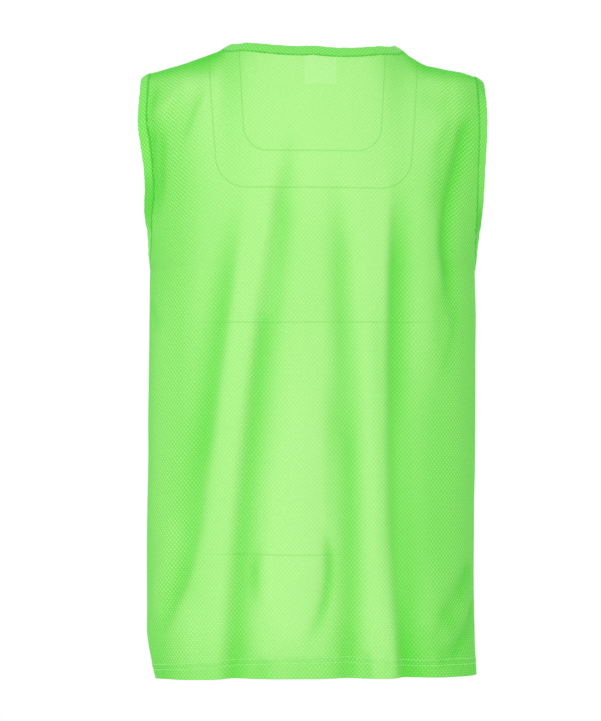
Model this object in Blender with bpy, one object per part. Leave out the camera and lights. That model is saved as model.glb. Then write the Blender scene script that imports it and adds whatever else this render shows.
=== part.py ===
"""A sleeveless mesh training bib, filled out as when worn, in metres with +Z up.

The back of the bib faces -Y and its front faces +Y. The origin lies midway between the two points
where the shoulder seams meet the neck. Below, "drop" is the height under the origin, and "across"
is the distance from the middle of a panel, measured along the cloth.
"""

import math

import bpy
import bmesh
import numpy as np

# Driving dimensions
CLOTH_WALL = 0.0015
HEM_WALL = 0.0022
HEM_HEIGHT = 0.022
SEAM_GAP = 0.0003

NECK_HALF_WIDTH = 0.107
NECK_MIDDLE = 0.004
NECK_BACK_REACH = 0.068
NECK_FRONT_REACH = 0.072
NECK_ROUNDNESS = 2.3

ARMHOLE_TOP = 0.031
ARMHOLE_BOTTOM = 0.268
ARMHOLE_BACK_REACH = 0.062
ARMHOLE_FRONT_REACH = 0.057
ARMHOLE_ROUNDNESS = 2.1

BINDING_WIDTH = 0.013
BINDING_EDGE_WALL = 0.0015
BINDING_MIDDLE_WALL = 0.0026
NECK_BINDING_TURN = math.radians(-14)
TIP_BINDING_TURN = math.radians(-30)

LABEL_WALL = 0.001
LABEL_COLUMNS = (-1, 2)
LABEL_ROWS = 2
LABEL_HEIGHT = 0.040

# Cells of the panels, counted between seams
NECK_CELLS = 11
SHOULDER_CELLS = 10
ARMHOLE_CELLS = 16
BODY_CELLS = 15
UNDERARM_CROWDING = 1.25
NECK_EVENNESS = 0.7

BACK = -1
FRONT = 1


class Table:
    """Rows under named columns, read between the rows along a smooth curve."""

    def __init__(self, names, *rows):
        self.names = names
        self.rows = np.array(rows, float)

    def at(self, name, where):
        """The named column at a value of the first column."""
        keys = self.rows[:, 0]
        values = self.rows[:, self.names.index(name)]
        steps = np.diff(keys)
        rises = np.diff(values) / steps
        slopes = np.concatenate([[rises[0]], (rises[1:] + rises[:-1]) / 2, [rises[-1]]])
        slopes[1:-1][rises[1:] * rises[:-1] <= 0] = 0
        where = np.clip(where, keys[0], keys[-1])
        i = np.clip(np.searchsorted(keys, where) - 1, 0, len(steps) - 1)
        t = (where - keys[i]) / steps[i]
        start, end = values[i], values[i + 1]
        leave, arrive = slopes[i] * steps[i], slopes[i + 1] * steps[i]
        bend = 2 * (start - end) + leave + arrive
        return start + t * (leave + t * (3 * (end - start) - 2 * leave - arrive + t * bend))


# Half widths at the seams, and the reach of the cloth behind and before the shoulder line
SECTIONS = Table(
    ("drop", "left", "right", "back", "front", "squareness"),
    (0.000, 0.1945, 0.1925, 0.122, 0.112, 2.00),
    (0.060, 0.1950, 0.1940, 0.122, 0.113, 2.00),
    (0.095, 0.1955, 0.1945, 0.122, 0.114, 2.00),
    (0.150, 0.1920, 0.1925, 0.123, 0.116, 2.05),
    (0.200, 0.1895, 0.1915, 0.124, 0.118, 2.25),
    (0.235, 0.1900, 0.1905, 0.125, 0.120, 2.45),
    (0.268, 0.1935, 0.1925, 0.125, 0.121, 2.60),
    (0.360, 0.1945, 0.1930, 0.124, 0.120, 2.75),
    (0.500, 0.1960, 0.1920, 0.123, 0.118, 2.80),
    (0.620, 0.1975, 0.1905, 0.125, 0.119, 2.80),
    (0.690, 0.1975, 0.1915, 0.126, 0.120, 2.80),
    (0.757, 0.1865, 0.1945, 0.125, 0.120, 2.70),
)

# The shoulder line: its drop, and how far below it the cloth has curved over to its full reach
SHOULDERS = Table(
    ("across", "left_top", "right_top", "back_rise", "front_rise", "curve_over", "roundness"),
    (0.000, -0.0475, -0.0475, 0.000, 0.032, 0.215, 1.50),
    (0.050, -0.0365, -0.0350, 0.000, 0.026, 0.205, 1.55),
    (0.080, -0.0200, -0.0180, 0.000, 0.014, 0.195, 1.65),
    (0.107, 0.0030, 0.0060, 0.000, 0.000, 0.180, 1.75),
    (0.130, 0.0130, 0.0215, 0.000, 0.000, 0.165, 1.90),
    (0.155, 0.0220, 0.0280, 0.000, 0.000, 0.145, 2.00),
    (0.180, 0.0295, 0.0330, 0.000, 0.000, 0.125, 2.10),
    (0.197, 0.0340, 0.0385, 0.000, 0.000, 0.117, 2.10),
)

# How far the hem hangs, by the share of the half width from the left seam to the right one
HEM_LINE = Table(
    ("share", "drop"),
    (-1.0, 0.7550),
    (-0.6, 0.7445),
    (0.0, 0.7400),
    (0.6, 0.7420),
    (1.0, 0.7500),
)

FOLD_COLUMNS = (
    "start_across", "start_drop", "end_across", "end_drop", "bow",
    "start_width", "end_width", "depth", "fade_in", "fade_out", "lean",
)

# A row for each trough, from its upper end to its lower one. A negative depth stands out as a ridge.
BACK_FOLDS = (
    (-0.081, 0.150, -0.147, 0.600, 0.000, 0.011, 0.018, 0.0082, 0.36, 0.30, -0.30),
    (-0.026, 0.120, -0.093, 0.750, -0.008, 0.012, 0.019, 0.0100, 0.17, 0.00, 0.40),
    (0.022, 0.115, 0.040, 0.750, 0.009, 0.012, 0.020, 0.0104, 0.36, 0.00, -0.10),
    (0.103, 0.130, 0.111, 0.750, -0.012, 0.012, 0.018, 0.0112, 0.25, 0.00, 0.40),
    (0.190, 0.080, 0.178, 0.360, -0.018, 0.010, 0.012, 0.0075, 0.12, 0.35, 0.00),
    (-0.196, 0.085, -0.212, 0.225, 0.000, 0.009, 0.012, 0.0060, 0.25, 0.40, 0.00),
    (-0.124, 0.030, -0.190, 0.100, 0.000, 0.010, 0.012, -0.0045, 0.25, 0.25, 0.00),
    (0.136, 0.330, 0.142, 0.720, 0.000, 0.024, 0.028, 0.0040, 0.35, 0.40, 0.00),
    (-0.008, 0.300, -0.019, 0.740, 0.000, 0.020, 0.027, -0.0045, 0.50, 0.15, 0.00),
    (0.216, 0.612, 0.140, 0.692, 0.000, 0.013, 0.015, 0.0050, 0.15, 0.35, 0.00),
    (0.238, 0.660, 0.150, 0.735, 0.000, 0.013, 0.014, 0.0050, 0.15, 0.30, 0.00),
    (-0.130, 0.490, -0.200, 0.710, 0.018, 0.014, 0.012, 0.0048, 0.40, 0.30, -0.30),
)
FRONT_FOLDS = (
    (0.112, 0.210, 0.170, 0.750, -0.008, 0.012, 0.020, 0.0085, 0.30, 0.00, 0.0),
    (0.052, 0.250, 0.082, 0.750, 0.006, 0.010, 0.018, 0.0090, 0.35, 0.00, 0.0),
    (-0.020, 0.300, -0.014, 0.750, -0.005, 0.010, 0.019, 0.0075, 0.40, 0.00, 0.0),
    (-0.078, 0.190, -0.104, 0.750, 0.008, 0.010, 0.018, 0.0100, 0.28, 0.00, 0.2),
    (-0.198, 0.090, -0.160, 0.330, 0.018, 0.010, 0.015, 0.0085, 0.20, 0.40, 0.0),
    (0.196, 0.100, 0.168, 0.300, -0.014, 0.010, 0.013, 0.0070, 0.20, 0.40, 0.0),
    (-0.150, 0.380, -0.168, 0.760, 0.000, 0.016, 0.022, 0.0060, 0.40, 0.00, 0.0),
)


def smooth_step(start, end, value):
    """0 before start, 1 after end, and an even curve between them."""
    t = np.clip((value - start) / (end - start), 0, 1)
    return t * t * (3 - 2 * t)


def seam_half_width(drop, hand):
    """Half the width between the armhole seams or, lower down, the side seams."""
    return np.where(hand < 0, SECTIONS.at("left", drop), SECTIONS.at("right", drop))


def seam_reach(drop, side):
    """How far the panel's edge lies from the shoulder line, before the shoulder curves it over."""
    reach = ARMHOLE_BACK_REACH if side == BACK else ARMHOLE_FRONT_REACH
    half = (ARMHOLE_BOTTOM - ARMHOLE_TOP) / 2
    below = np.clip((drop - ARMHOLE_TOP - half) / half, 0, 1)
    return reach * (1 - below**ARMHOLE_ROUNDNESS) ** (1 / ARMHOLE_ROUNDNESS)


def section(drop, side, hand):
    """The width, reach, squareness and end angle of the level section through the cloth."""
    reach = SECTIONS.at("back" if side == BACK else "front", drop)
    square = SECTIONS.at("squareness", drop)
    edge = np.clip(seam_reach(drop, side) / reach, 0, 0.999) ** square
    width = seam_half_width(drop, hand) / (1 - edge) ** (1 / square)
    end_angle = np.arctan2((1 - edge) ** 0.5, edge**0.5)
    return width, reach, square, end_angle


def section_reach(x, drop, side):
    width, reach, square, _ = section(drop, side, np.sign(x))
    share = np.clip(np.abs(x) / width, 0, 1)
    return reach * (1 - share**square) ** (1 / square)


def shoulder_shape(x, side):
    """Drop of the shoulder line, height of the curve below it, and that curve's roundness."""
    far = np.abs(x)
    top = np.where(x < 0, SHOULDERS.at("left_top", far), SHOULDERS.at("right_top", far))
    top = top + SHOULDERS.at("back_rise" if side == BACK else "front_rise", far)
    return top, SHOULDERS.at("curve_over", far), SHOULDERS.at("roundness", far)


def curved_over(x, drop, side):
    """The share of its full reach that the cloth has at this drop under the shoulder line."""
    top, height, roundness = shoulder_shape(x, side)
    t = np.clip((drop - top) / height, 0, 1)
    return (1 - (1 - t) ** roundness) ** (1 / roundness)


def across_to_x(share, drops, side):
    """x where the panel has covered this share of the way from its middle to its seam."""
    hand = -1 if share < 0 else 1
    straight = share * seam_half_width(drops, hand)
    width, reach, square, end_angle = section(drops, side, hand)
    angles = np.linspace(0, 1, 60)[None, :] * end_angle[:, None]
    power = 2 / square[:, None]
    x = width[:, None] * np.sin(angles) ** power
    y = reach[:, None] * np.cos(angles) ** power
    lengths = np.cumsum(np.hypot(np.diff(x, axis=1), np.diff(y, axis=1)), axis=1)
    lengths = np.hstack([np.zeros((len(drops), 1)), lengths])
    girth = lengths[:, -1]
    along = np.array([np.interp(abs(share) * g, row, xs) for g, row, xs in zip(girth, lengths, x)])
    return straight + smooth_step(0.06, 0.26, drops) * (hand * along - straight)


def column_start(share, side):
    """The drop where a column of the panel begins, on the neck seam or the shoulder seam."""
    hand = -1 if share < 0 else 1
    x = share * seam_half_width(0.0, hand)
    top, height, roundness = shoulder_shape(x, side)
    from_middle = abs(x - NECK_MIDDLE * (1 - (x / NECK_HALF_WIDTH) ** 2)) / NECK_HALF_WIDTH
    if abs(x) >= NECK_HALF_WIDTH - 1e-6:
        return float(top)
    reach = NECK_BACK_REACH if side == BACK else NECK_FRONT_REACH
    neck_y = reach * (1 - min(from_middle, 1) ** NECK_ROUNDNESS) ** (1 / NECK_ROUNDNESS)
    for _ in range(8):
        drop = top
        bowed = neck_y / section_reach(x, drop, side)
        drop = top + height * (1 - (1 - bowed**roundness) ** (1 / roundness))
    return float(drop)


def panel_shares():
    """The share of the half width at each column, even along the neck and along the shoulder."""
    neck = NECK_HALF_WIDTH / seam_half_width(0.0, 1)
    angles = np.linspace(0, math.pi / 2, 200)
    x = NECK_HALF_WIDTH * np.sin(angles) ** (2 / NECK_ROUNDNESS)
    y = NECK_BACK_REACH * np.cos(angles) ** (2 / NECK_ROUNDNESS)
    lengths = np.concatenate([[0], np.cumsum(np.hypot(np.diff(x), np.diff(y)))])
    even = np.interp(np.linspace(0, lengths[-1], NECK_CELLS + 1), lengths, x)
    inner = NECK_EVENNESS * even * neck / NECK_HALF_WIDTH
    inner = inner + (1 - NECK_EVENNESS) * np.linspace(0, neck, NECK_CELLS + 1)
    outer = np.linspace(neck, 1, SHOULDER_CELLS + 1)[1:]
    half = np.concatenate([inner, outer])
    return np.concatenate([-half[:0:-1], half])


def row_lengths(dense_drops, lengths, side_length):
    """Where the rows cross a column, as lengths along it from its upper end."""
    at_underarm = np.interp(ARMHOLE_BOTTOM, dense_drops, lengths)
    label = [0, LABEL_HEIGHT / LABEL_ROWS, LABEL_HEIGHT]
    to_underarm = np.linspace(1, 0, ARMHOLE_CELLS - LABEL_ROWS + 1)[1:] ** UNDERARM_CROWDING
    upper = at_underarm - (at_underarm - LABEL_HEIGHT) * to_underarm
    lower = np.linspace(at_underarm, side_length - HEM_HEIGHT, BODY_CELLS + 1)[1:]
    return np.concatenate([label, upper, lower, [side_length]])


def panel_grid(side):
    """The smooth cloth without folds: points by row and column, with their across and drop."""
    points, places = [], []
    for share in panel_shares():
        start = column_start(share, side)
        end = float(HEM_LINE.at("drop", share))
        dense = start + (end - start) * np.linspace(0, 1, 260) ** 2
        x = across_to_x(share, dense, side)
        y = side * section_reach(x, dense, side) * curved_over(x, dense, side)
        steps = np.sqrt(np.diff(x) ** 2 + np.diff(y) ** 2 + np.diff(dense) ** 2)
        lengths = np.concatenate([[0], np.cumsum(steps)])
        wanted = row_lengths(dense, lengths, lengths[-1])
        drops = np.interp(wanted, lengths, dense)
        column_x = np.interp(wanted, lengths, x)
        column_y = np.interp(wanted, lengths, y)
        points.append(np.stack([column_x, column_y, -drops], axis=1))
        places.append(drops)
    points = np.array(points).transpose(1, 0, 2)
    steps = np.linalg.norm(np.diff(points, axis=1), axis=2)
    middle = points.shape[1] // 2
    along = np.concatenate([np.zeros((len(points), 1)), np.cumsum(steps, axis=1)], axis=1)
    across = along - along[:, middle : middle + 1]
    return points, across, np.array(places).T


def fold_height(across, drop, folds):
    """How far the folds move the cloth out, at each place on a panel."""
    height = np.zeros_like(across)
    for row in folds:
        fold = dict(zip(FOLD_COLUMNS, row))
        run_across = fold["end_across"] - fold["start_across"]
        run_down = fold["end_drop"] - fold["start_drop"]
        length = math.hypot(run_across, run_down)
        from_start = across - fold["start_across"], drop - fold["start_drop"]
        along = (from_start[0] * run_across + from_start[1] * run_down) / length**2
        beside = (from_start[0] * run_down - from_start[1] * run_across) / length
        held = np.clip(along, 0, 1)
        beside = beside - fold["bow"] * 4 * held * (1 - held)
        width = fold["start_width"] + held * (fold["end_width"] - fold["start_width"])
        width = width * (1 + fold["lean"] * np.tanh(beside / width))
        shape = np.exp(-((beside / width) ** 2))
        shape = shape * smooth_step(0, max(fold["fade_in"], 1e-3), along)
        if fold["fade_out"] > 0:
            shape = shape * smooth_step(0, fold["fade_out"], 1 - along)
        height -= fold["depth"] * shape
    return height


def grid_normals(points, side):
    """Outward normals of a grid of points."""
    down = np.gradient(points, axis=0)
    along = np.gradient(points, axis=1)
    normals = np.cross(along, down) * side
    return normals / np.linalg.norm(normals, axis=2, keepdims=True)


def unit(vectors):
    return vectors / np.linalg.norm(vectors, axis=-1, keepdims=True)


def seam_rows(columns):
    """The columns of a panel's top row that lie on the two shoulder seams."""
    reach = SHOULDER_CELLS + 1
    return np.concatenate([np.arange(reach), np.arange(columns - reach, columns)])


def share_seams(back, front):
    """Makes both panels agree along the side seams and the shoulder seams."""
    shoulder = seam_rows(back.shape[1])
    sides = slice(ARMHOLE_CELLS, None)
    for rows, columns in ((0, shoulder), (sides, 0), (sides, -1)):
        middle = (back[rows, columns] + front[rows, columns]) / 2
        back[rows, columns] = middle
        front[rows, columns] = middle


def both_panels():
    """Middle surface and outward normals of the back and the front, with their folds."""
    panels = {}
    for side, folds in ((BACK, BACK_FOLDS), (FRONT, FRONT_FOLDS)):
        points, across, drop = panel_grid(side)
        panels[side] = [points, grid_normals(points, side), fold_height(across, drop, folds)]
    back, front = panels[BACK], panels[FRONT]
    for part in range(3):
        share_seams(back[part], front[part])
    for panel in (back, front):
        panel[1] = unit(panel[1])
        panel[0] = panel[0] + panel[1] * panel[2][..., None]
    share_seams(back[0], front[0])
    for side, panel in ((BACK, back), (FRONT, front)):
        panel[1] = grid_normals(panel[0], side)
    share_seams(back[1], front[1])
    return {side: (panel[0], unit(panel[1])) for side, panel in panels.items()}


def draw_in(points):
    """Draws the edges of a panel in by half the seam gap where they meet the other panel."""
    drawn = points.copy()
    shoulder = seam_rows(points.shape[1])
    drawn[0, shoulder] += unit(points[1, shoulder] - points[0, shoulder]) * SEAM_GAP / 2
    for edge, inner in ((0, 1), (-1, -2)):
        rows = slice(ARMHOLE_CELLS, None)
        drawn[rows, edge] += unit(points[rows, inner] - points[rows, edge]) * SEAM_GAP / 2
    return drawn


def material(name, colour, roughness):
    made = bpy.data.materials.new(name)
    made.use_nodes = True
    shader = made.node_tree.nodes["Principled BSDF"]
    shader.inputs["Base Color"].default_value = (*colour, 1)
    shader.inputs["Roughness"].default_value = roughness
    shader.inputs["Metallic"].default_value = 0
    made.diffuse_color = (*colour, 1)
    return made


def solid_object(name, points, faces, finish):
    """One closed object, with its faces pointing out."""
    mesh = bpy.data.meshes.new(name)
    mesh.from_pydata([tuple(p) for p in points], [], faces)
    shape = bmesh.new()
    shape.from_mesh(mesh)
    bmesh.ops.triangulate(shape, faces=shape.faces, quad_method="SHORT_EDGE")
    if shape.calc_volume(signed=True) < 0:
        bmesh.ops.reverse_faces(shape, faces=shape.faces)
    shape.to_mesh(mesh)
    shape.free()
    mesh.materials.append(finish)
    mesh.shade_smooth()
    mesh.set_sharp_from_angle(angle=math.radians(50))
    made = bpy.data.objects.new(name, mesh)
    bpy.context.scene.collection.objects.link(made)
    return made


def wall_between(name, outer, inner, finish):
    """A closed wall between two grids of points of the same size."""
    rows, columns = outer.shape[:2]
    count = rows * columns
    index = np.arange(count).reshape(rows, columns)
    faces = []
    for i in range(rows - 1):
        for j in range(columns - 1):
            a, b, c, d = index[i, j], index[i, j + 1], index[i + 1, j + 1], index[i + 1, j]
            faces.append((a, b, c, d))
            faces.append((a + count, d + count, c + count, b + count))
    rim = [*index[0, :], *index[1:, -1], *index[-1, -2::-1], *index[-2:0:-1, 0]]
    for a, b in zip(rim, rim[1:] + rim[:1]):
        faces.append((b, a, a + count, b + count))
    points = np.concatenate([outer.reshape(-1, 3), inner.reshape(-1, 3)])
    return solid_object(name, points, [tuple(map(int, face)) for face in faces], finish)


def cloth_panel(name, points, normals, finish):
    """A panel with its hem, which is thicker because the cloth is turned up there."""
    wall = np.full(points.shape[:2], CLOTH_WALL)
    wall[-2:] = HEM_WALL
    half = normals * wall[..., None] / 2
    drawn = draw_in(points)
    return wall_between(name, drawn + half, drawn - half, finish)


def binding(name, seam, normals, away, turns, finish):
    """A folded strip round an opening, sewn to the panels along a closed seam."""
    steps = 3
    walls = (BINDING_EDGE_WALL, BINDING_MIDDLE_WALL, BINDING_MIDDLE_WALL, BINDING_EDGE_WALL)
    sections = []
    for point, normal, out, turn in zip(seam, normals, away, turns):
        centre = point + out * SEAM_GAP
        outer, inner = [], []
        for k in range(steps + 1):
            angle = turn * k / steps
            across = normal * math.cos(angle) - out * math.sin(angle)
            outer.append(centre + across * walls[k] / 2)
            inner.append(centre - across * walls[k] / 2)
            ahead = turn * (k + 0.5) / steps
            centre = centre + (out * math.cos(ahead) + normal * math.sin(ahead)) * BINDING_WIDTH / steps
        sections.append(outer + inner[::-1])
    sections = np.array(sections)
    stations, around = sections.shape[:2]
    faces = []
    for i in range(stations):
        for j in range(around):
            after, beside = (i + 1) % stations, (j + 1) % around
            faces.append((i * around + j, i * around + beside, after * around + beside, after * around + j))
    return solid_object(name, sections.reshape(-1, 3), faces, finish)


def away_from_cloth(seam, normals, inner):
    """The direction in the cloth's surface that leaves the panel across the seam."""
    along = unit(np.roll(seam, -1, axis=0) - np.roll(seam, 1, axis=0))
    out = unit(np.cross(along, normals))
    return out if ((seam - inner) * out).sum() > 0 else -out


def closed_seam(panels, back_edge, front_edge, back_inner, front_inner):
    """A closed loop of seam points from the back's edge and the front's, which share their ends."""
    points = np.concatenate([panels[BACK][0][back_edge], panels[FRONT][0][front_edge][-2:0:-1]])
    normals = np.concatenate([panels[BACK][1][back_edge], panels[FRONT][1][front_edge][-2:0:-1]])
    inner = np.concatenate([panels[BACK][0][back_inner], panels[FRONT][0][front_inner][-2:0:-1]])
    for _ in range(2):
        beside = np.roll(normals, 1, axis=0) + np.roll(normals, -1, axis=0)
        normals = unit(2 * normals + beside)
    return points, normals, away_from_cloth(points, normals, inner)


def neck_binding(panels, finish):
    columns = panels[BACK][0].shape[1]
    neck = slice(SHOULDER_CELLS, columns - SHOULDER_CELLS)
    seam, normals, away = closed_seam(panels, (0, neck), (0, neck), (1, neck), (1, neck))
    turns = np.full(len(seam), NECK_BINDING_TURN)
    return binding("neck_binding", seam, normals, away, turns, finish)


def armhole_binding(name, panels, edge, inner, finish):
    rows = slice(0, ARMHOLE_CELLS + 1)
    seam, normals, away = closed_seam(panels, (rows, edge), (rows, edge), (rows, inner), (rows, inner))
    near_tip = 1 - smooth_step(ARMHOLE_TOP, ARMHOLE_TOP + 0.05, -seam[:, 2])
    return binding(name, seam, normals, away, TIP_BINDING_TURN * near_tip, finish)


def neck_label(panels, finish):
    """A label inside the back of the neck, made from the points of the cloth that it lies on."""
    points, normals = panels[BACK]
    middle = points.shape[1] // 2
    rows = slice(0, LABEL_ROWS + 1)
    columns = slice(middle + LABEL_COLUMNS[0], middle + LABEL_COLUMNS[1] + 1)
    near = CLOTH_WALL / 2 + SEAM_GAP
    inward = -normals[rows, columns]
    place = points[rows, columns]
    return wall_between("neck_label", place + inward * near, place + inward * (near + LABEL_WALL), finish)


def build():
    for old in list(bpy.data.objects):
        bpy.data.objects.remove(old)
    mesh_cloth = material("mesh_cloth", (0.36, 0.90, 0.21), 0.72)
    bound_cloth = material("bound_cloth", (0.27, 0.82, 0.16), 0.75)
    label_cloth = material("label_cloth", (0.80, 0.95, 0.74), 0.55)
    panels = both_panels()
    cloth_panel("back_panel", *panels[BACK], mesh_cloth)
    cloth_panel("front_panel", *panels[FRONT], mesh_cloth)
    neck_binding(panels, bound_cloth)
    armhole_binding("armhole_binding_left", panels, 0, 1, bound_cloth)
    armhole_binding("armhole_binding_right", panels, -1, -2, bound_cloth)
    neck_label(panels, label_cloth)


build()
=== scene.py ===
import math

import bmesh
import bpy
import numpy as np
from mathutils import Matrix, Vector


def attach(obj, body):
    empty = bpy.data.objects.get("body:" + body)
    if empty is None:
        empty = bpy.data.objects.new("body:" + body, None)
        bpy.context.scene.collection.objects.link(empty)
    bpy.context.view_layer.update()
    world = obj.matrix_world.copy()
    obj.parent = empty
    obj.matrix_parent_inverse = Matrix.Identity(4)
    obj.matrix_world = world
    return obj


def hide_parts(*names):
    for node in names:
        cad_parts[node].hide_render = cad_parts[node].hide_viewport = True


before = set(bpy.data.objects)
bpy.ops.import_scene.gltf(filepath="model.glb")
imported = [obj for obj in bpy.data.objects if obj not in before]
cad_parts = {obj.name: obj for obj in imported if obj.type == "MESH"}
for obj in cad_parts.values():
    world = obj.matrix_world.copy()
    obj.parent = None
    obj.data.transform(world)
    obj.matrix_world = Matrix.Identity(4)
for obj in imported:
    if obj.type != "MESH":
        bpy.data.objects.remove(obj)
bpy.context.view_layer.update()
print("frame loaded:", ", ".join(sorted(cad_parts)))

# The back of the bib faces -Y. "drop" is depth under the origin, "across" runs along the cloth.
backSide = -1
frontSide = 1


class Table:  # rows under named columns, read along a smooth curve
    def __init__(self, names, *rows):
        self.names = names
        self.rows = np.array(rows, float)

    def at(self, name, where):
        keys = self.rows[:, 0]
        values = self.rows[:, self.names.index(name)]
        steps = np.diff(keys)
        rises = np.diff(values) / steps
        slopes = np.concatenate([[rises[0]], (rises[1:] + rises[:-1]) / 2, [rises[-1]]])
        slopes[1:-1][rises[1:] * rises[:-1] <= 0] = 0
        where = np.clip(where, keys[0], keys[-1])
        i = np.clip(np.searchsorted(keys, where) - 1, 0, len(steps) - 1)
        t = (where - keys[i]) / steps[i]
        start, end = values[i], values[i + 1]
        leave, arrive = slopes[i] * steps[i], slopes[i + 1] * steps[i]
        bend = 2 * (start - end) + leave + arrive
        return start + t * (leave + t * (3 * (end - start) - 2 * leave - arrive + t * bend))


# Sizes of the cut, the same as in the solids
cut = {
    "neckHalfWidth": 0.107, "neckMiddle": 0.004, "neckBackReach": 0.068,
    "neckFrontReach": 0.072, "neckRoundness": 2.3, "armholeTop": 0.031,
    "armholeBottom": 0.268, "armholeBackReach": 0.062,
    "armholeFrontReach": 0.057, "armholeRoundness": 2.1,
}

sections = Table(
    ("drop", "left", "right", "back", "front", "squareness"),
    (0.000, 0.1945, 0.1925, 0.122, 0.112, 2.00),
    (0.060, 0.1950, 0.1940, 0.122, 0.113, 2.00),
    (0.095, 0.1955, 0.1945, 0.122, 0.114, 2.00),
    (0.150, 0.1920, 0.1925, 0.123, 0.116, 2.05),
    (0.200, 0.1895, 0.1915, 0.124, 0.118, 2.25),
    (0.235, 0.1900, 0.1905, 0.125, 0.120, 2.45),
    (0.268, 0.1935, 0.1925, 0.125, 0.121, 2.60),
    (0.360, 0.1945, 0.1930, 0.124, 0.120, 2.75),
    (0.500, 0.1960, 0.1920, 0.123, 0.118, 2.80),
    (0.620, 0.1975, 0.1905, 0.125, 0.119, 2.80),
    (0.690, 0.1975, 0.1915, 0.126, 0.120, 2.80),
    (0.757, 0.1865, 0.1945, 0.125, 0.120, 2.70),
)

shoulders = Table(
    ("across", "leftTop", "rightTop", "backRise", "frontRise", "curveOver", "roundness"),
    (0.000, -0.0475, -0.0475, 0.000, 0.032, 0.215, 1.50),
    (0.050, -0.0365, -0.0350, 0.000, 0.026, 0.205, 1.55),
    (0.080, -0.0200, -0.0180, 0.000, 0.014, 0.195, 1.65),
    (0.107, 0.0030, 0.0060, 0.000, 0.000, 0.180, 1.75),
    (0.130, 0.0130, 0.0215, 0.000, 0.000, 0.165, 1.90),
    (0.155, 0.0220, 0.0280, 0.000, 0.000, 0.145, 2.00),
    (0.180, 0.0295, 0.0330, 0.000, 0.000, 0.125, 2.10),
    (0.197, 0.0340, 0.0385, 0.000, 0.000, 0.117, 2.10),
)

hemLine = Table(
    ("share", "drop"),
    (-1.0, 0.7550),
    (-0.6, 0.7445),
    (0.0, 0.7400),
    (0.6, 0.7420),
    (1.0, 0.7500),
)

# Troughs in millimetres: across and drop of both ends, bow, width at both ends and depth, then the
# shares of the length that fade in and out, and any lean. A negative depth is a ridge.
backFolds = (
    (-81, 150, -147, 600, 0, 11, 18, 8.2, 0.36, 0.3, -0.3),
    (-26, 120, -93, 750, -8, 12, 19, 10, 0.17, 0, 0.4),
    (22, 115, 40, 750, 9, 12, 20, 10.4, 0.36, 0, -0.1),
    (103, 130, 111, 750, -12, 12, 18, 11.2, 0.25, 0, 0.4),
    (190, 80, 178, 360, -18, 10, 12, 7.5, 0.12, 0.35),
    (-196, 85, -212, 225, 0, 9, 12, 6, 0.25, 0.4),
    (-124, 30, -190, 100, 0, 10, 12, -4.5, 0.25, 0.25),
    (136, 330, 142, 720, 0, 24, 28, 4, 0.35, 0.4),
    (-8, 300, -19, 740, 0, 20, 27, -4.5, 0.5, 0.15),
    (216, 612, 140, 692, 0, 13, 15, 5, 0.15, 0.35),
    (238, 660, 150, 735, 0, 13, 14, 5, 0.15, 0.3),
    (-130, 490, -200, 710, 18, 14, 12, 4.8, 0.4, 0.3, -0.3),
)
frontFolds = (
    (112, 210, 170, 750, -8, 12, 20, 8.5, 0.3, 0),
    (52, 250, 82, 750, 6, 10, 18, 9, 0.35, 0),
    (-20, 300, -14, 750, -5, 10, 19, 7.5, 0.4, 0),
    (-78, 190, -104, 750, 8, 10, 18, 10, 0.28, 0, 0.2),
    (-198, 90, -160, 330, 18, 10, 15, 8.5, 0.2, 0.4),
    (196, 100, 168, 300, -14, 10, 13, 7, 0.2, 0.4),
    (-150, 380, -168, 760, 0, 16, 22, 6, 0.4, 0),
)

# Narrow creases that the solids leave out
backCreases = (
    (-60, 580, -62, 668, -6, 6, 7, 2.4, 0.4, 0.45),
    (10, 555, -14, 715, 16.5, 6.6, 9.2, 5.2, 0.3, 0.45),
    (-10, 640, -12, 760, 0, 34, 36, 1.9, 0.4, 0),
    (72, 260, 86, 700, 0, 9.5, 9.5, 1.8, 0.25, 0.3),
    (37, 240, 43, 490, 0, 10, 10, -1.6, 0.3, 0.3),
    (-4, 150, -6, 530, 0, 55, 55, 1.1, 0.25, 0.25),
    (138, 676, 158, 738, 0, 12, 12, 1.1, 0.3, 0.3),
    (-56, 708, -58, 760, 0, 12, 12, 1.9, 0.3, 0),
    (-24, 95, -30, 190, 0, 8, 8, 1.4, 0.4, 0.35),
    (-192, 270, -196, 640, 0, 24, 24, -1.6, 0.3, 0.25),
    (-166, 550, -198, 690, 0, 14, 14, -3, 0.3, 0.3),
    (100, 400, 105, 700, 0, 9, 9, -1.1, 0.25, 0.25),
    (186, 640, 150, 684, 0, 11, 11, -0.9, 0.3, 0.3),
    (150, 270, 152, 400, 0, 12, 12, 1, 0.3, 0.4),
    (20, 380, 18, 600, 0, 9, 9, 1.7, 0.35, 0.35),
    (-41, 180, -58, 350, 0, 9, 9, -2.4, 0.3, 0.3),
    (-108, 18, -154, 56, 0, 13, 12, 2.9, 0.55, 0.35),
    (126, 62, 164, 88, 0, 16, 16, 1.2, 0.3, 0.3),
    (152, 110, 148, 225, 0, 12, 11, 1.5, 0.4, 0.4),
    (150, 662, 182, 692, 0, 12, 12, 1.3, 0.3, 0.3),
    (-152, 630, -154, 760, 0, 18, 22, -2, 0.4, 0),
    (-125, 50, -156, 135, -3, 4.2, 5.2, 1.9, 0.3, 0.4),
    (-151, 54, -180, 98, 2, 3.8, 4.6, 1.4, 0.3, 0.4),
    (-182, 95, -200, 205, 6, 6.2, 7, 2.6, 0.3, 0.35),
    (-188, 50, -204, 100, 0, 5, 6, 2.2, 0.3, 0.3),
    (-20, 560, -20, 680, 0, 26, 20, -3, 0.5, 0.5),
    (170, 85, 140, 150, 0, 6, 8, 1.6, 0.3, 0.4),
    (185, 300, 150, 420, 0, 6, 9, 1.4, 0.4, 0.45),
    (62, 700, 64, 750, 0, 5, 6, 1.8, 0.4, 0),
    (-232, 300, -190, 350, 0, 9, 11, 1.2, 0.3, 0.45),
)
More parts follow.
